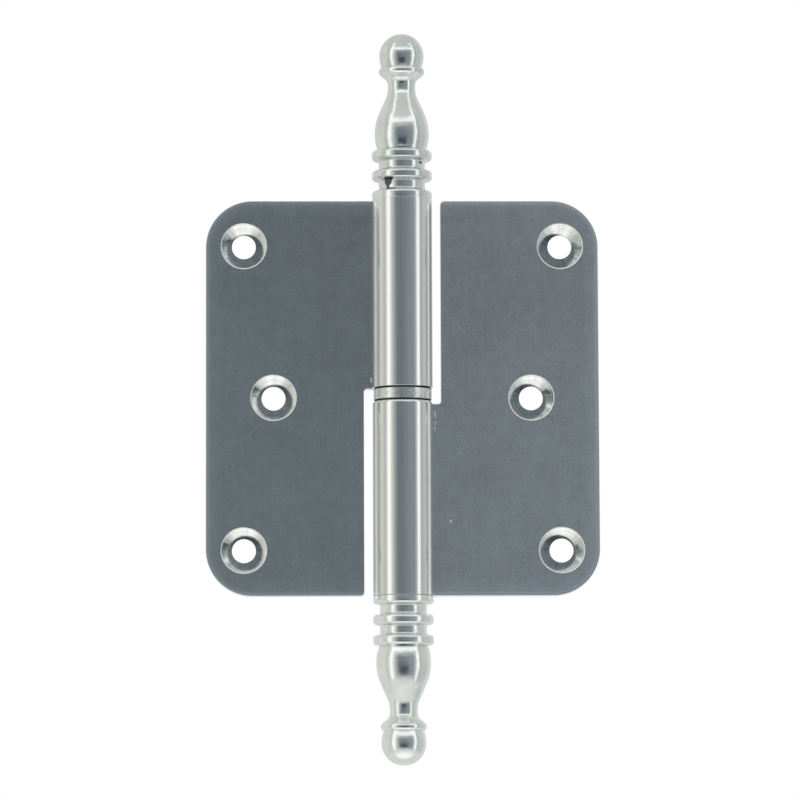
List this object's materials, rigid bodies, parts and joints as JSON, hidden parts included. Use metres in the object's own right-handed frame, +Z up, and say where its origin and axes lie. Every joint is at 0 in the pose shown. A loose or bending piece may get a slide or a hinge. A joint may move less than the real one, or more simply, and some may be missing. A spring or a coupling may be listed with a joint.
{
  "type": "lift-off door hinge",
  "caption": "Lift-off door hinge with round-cornered leaves, countersunk screw holes, a rolled barrel with a bearing ring and turned finials at both ends.",
  "frame": {"origin": "on the pin axis at half the height of the leaves, which is the centre of the bounding box", "axes": "+Z up along the pin axis, +X from the pin to the outer edge of the frame leaf, +Y towards the faces that lie on the frame and the door when the hinge is open flat"},
  "size_m": [0.0882, 0.0134, 0.1644],
  "materials": {
    "leaf": "satin plated",
    "ring": "polished plated",
    "pin": "ground",
    "finial": "polished plated"
  },
  "bodies": {
    "frame_leaf": {"lower_leaf": "leaf", "hinge_pin": "pin", "bottom_finial": "finial"},
    "ring": {"bearing_ring": "ring"},
    "door_leaf": {"upper_leaf": "leaf", "top_finial": "finial"}
  },
  "joints": [
    {"name": "leaf_swing", "type": "hinge", "parent": "frame_leaf", "child": "ring", "pos_m": [0, 0, 0], "axis": [0, 0, 1], "range_deg": [-120, 180]},
    {"name": "lift_off", "type": "slide", "parent": "ring", "child": "door_leaf", "axis": [0, 0, 1], "range_m": [0, 0.035]}
  ]
}
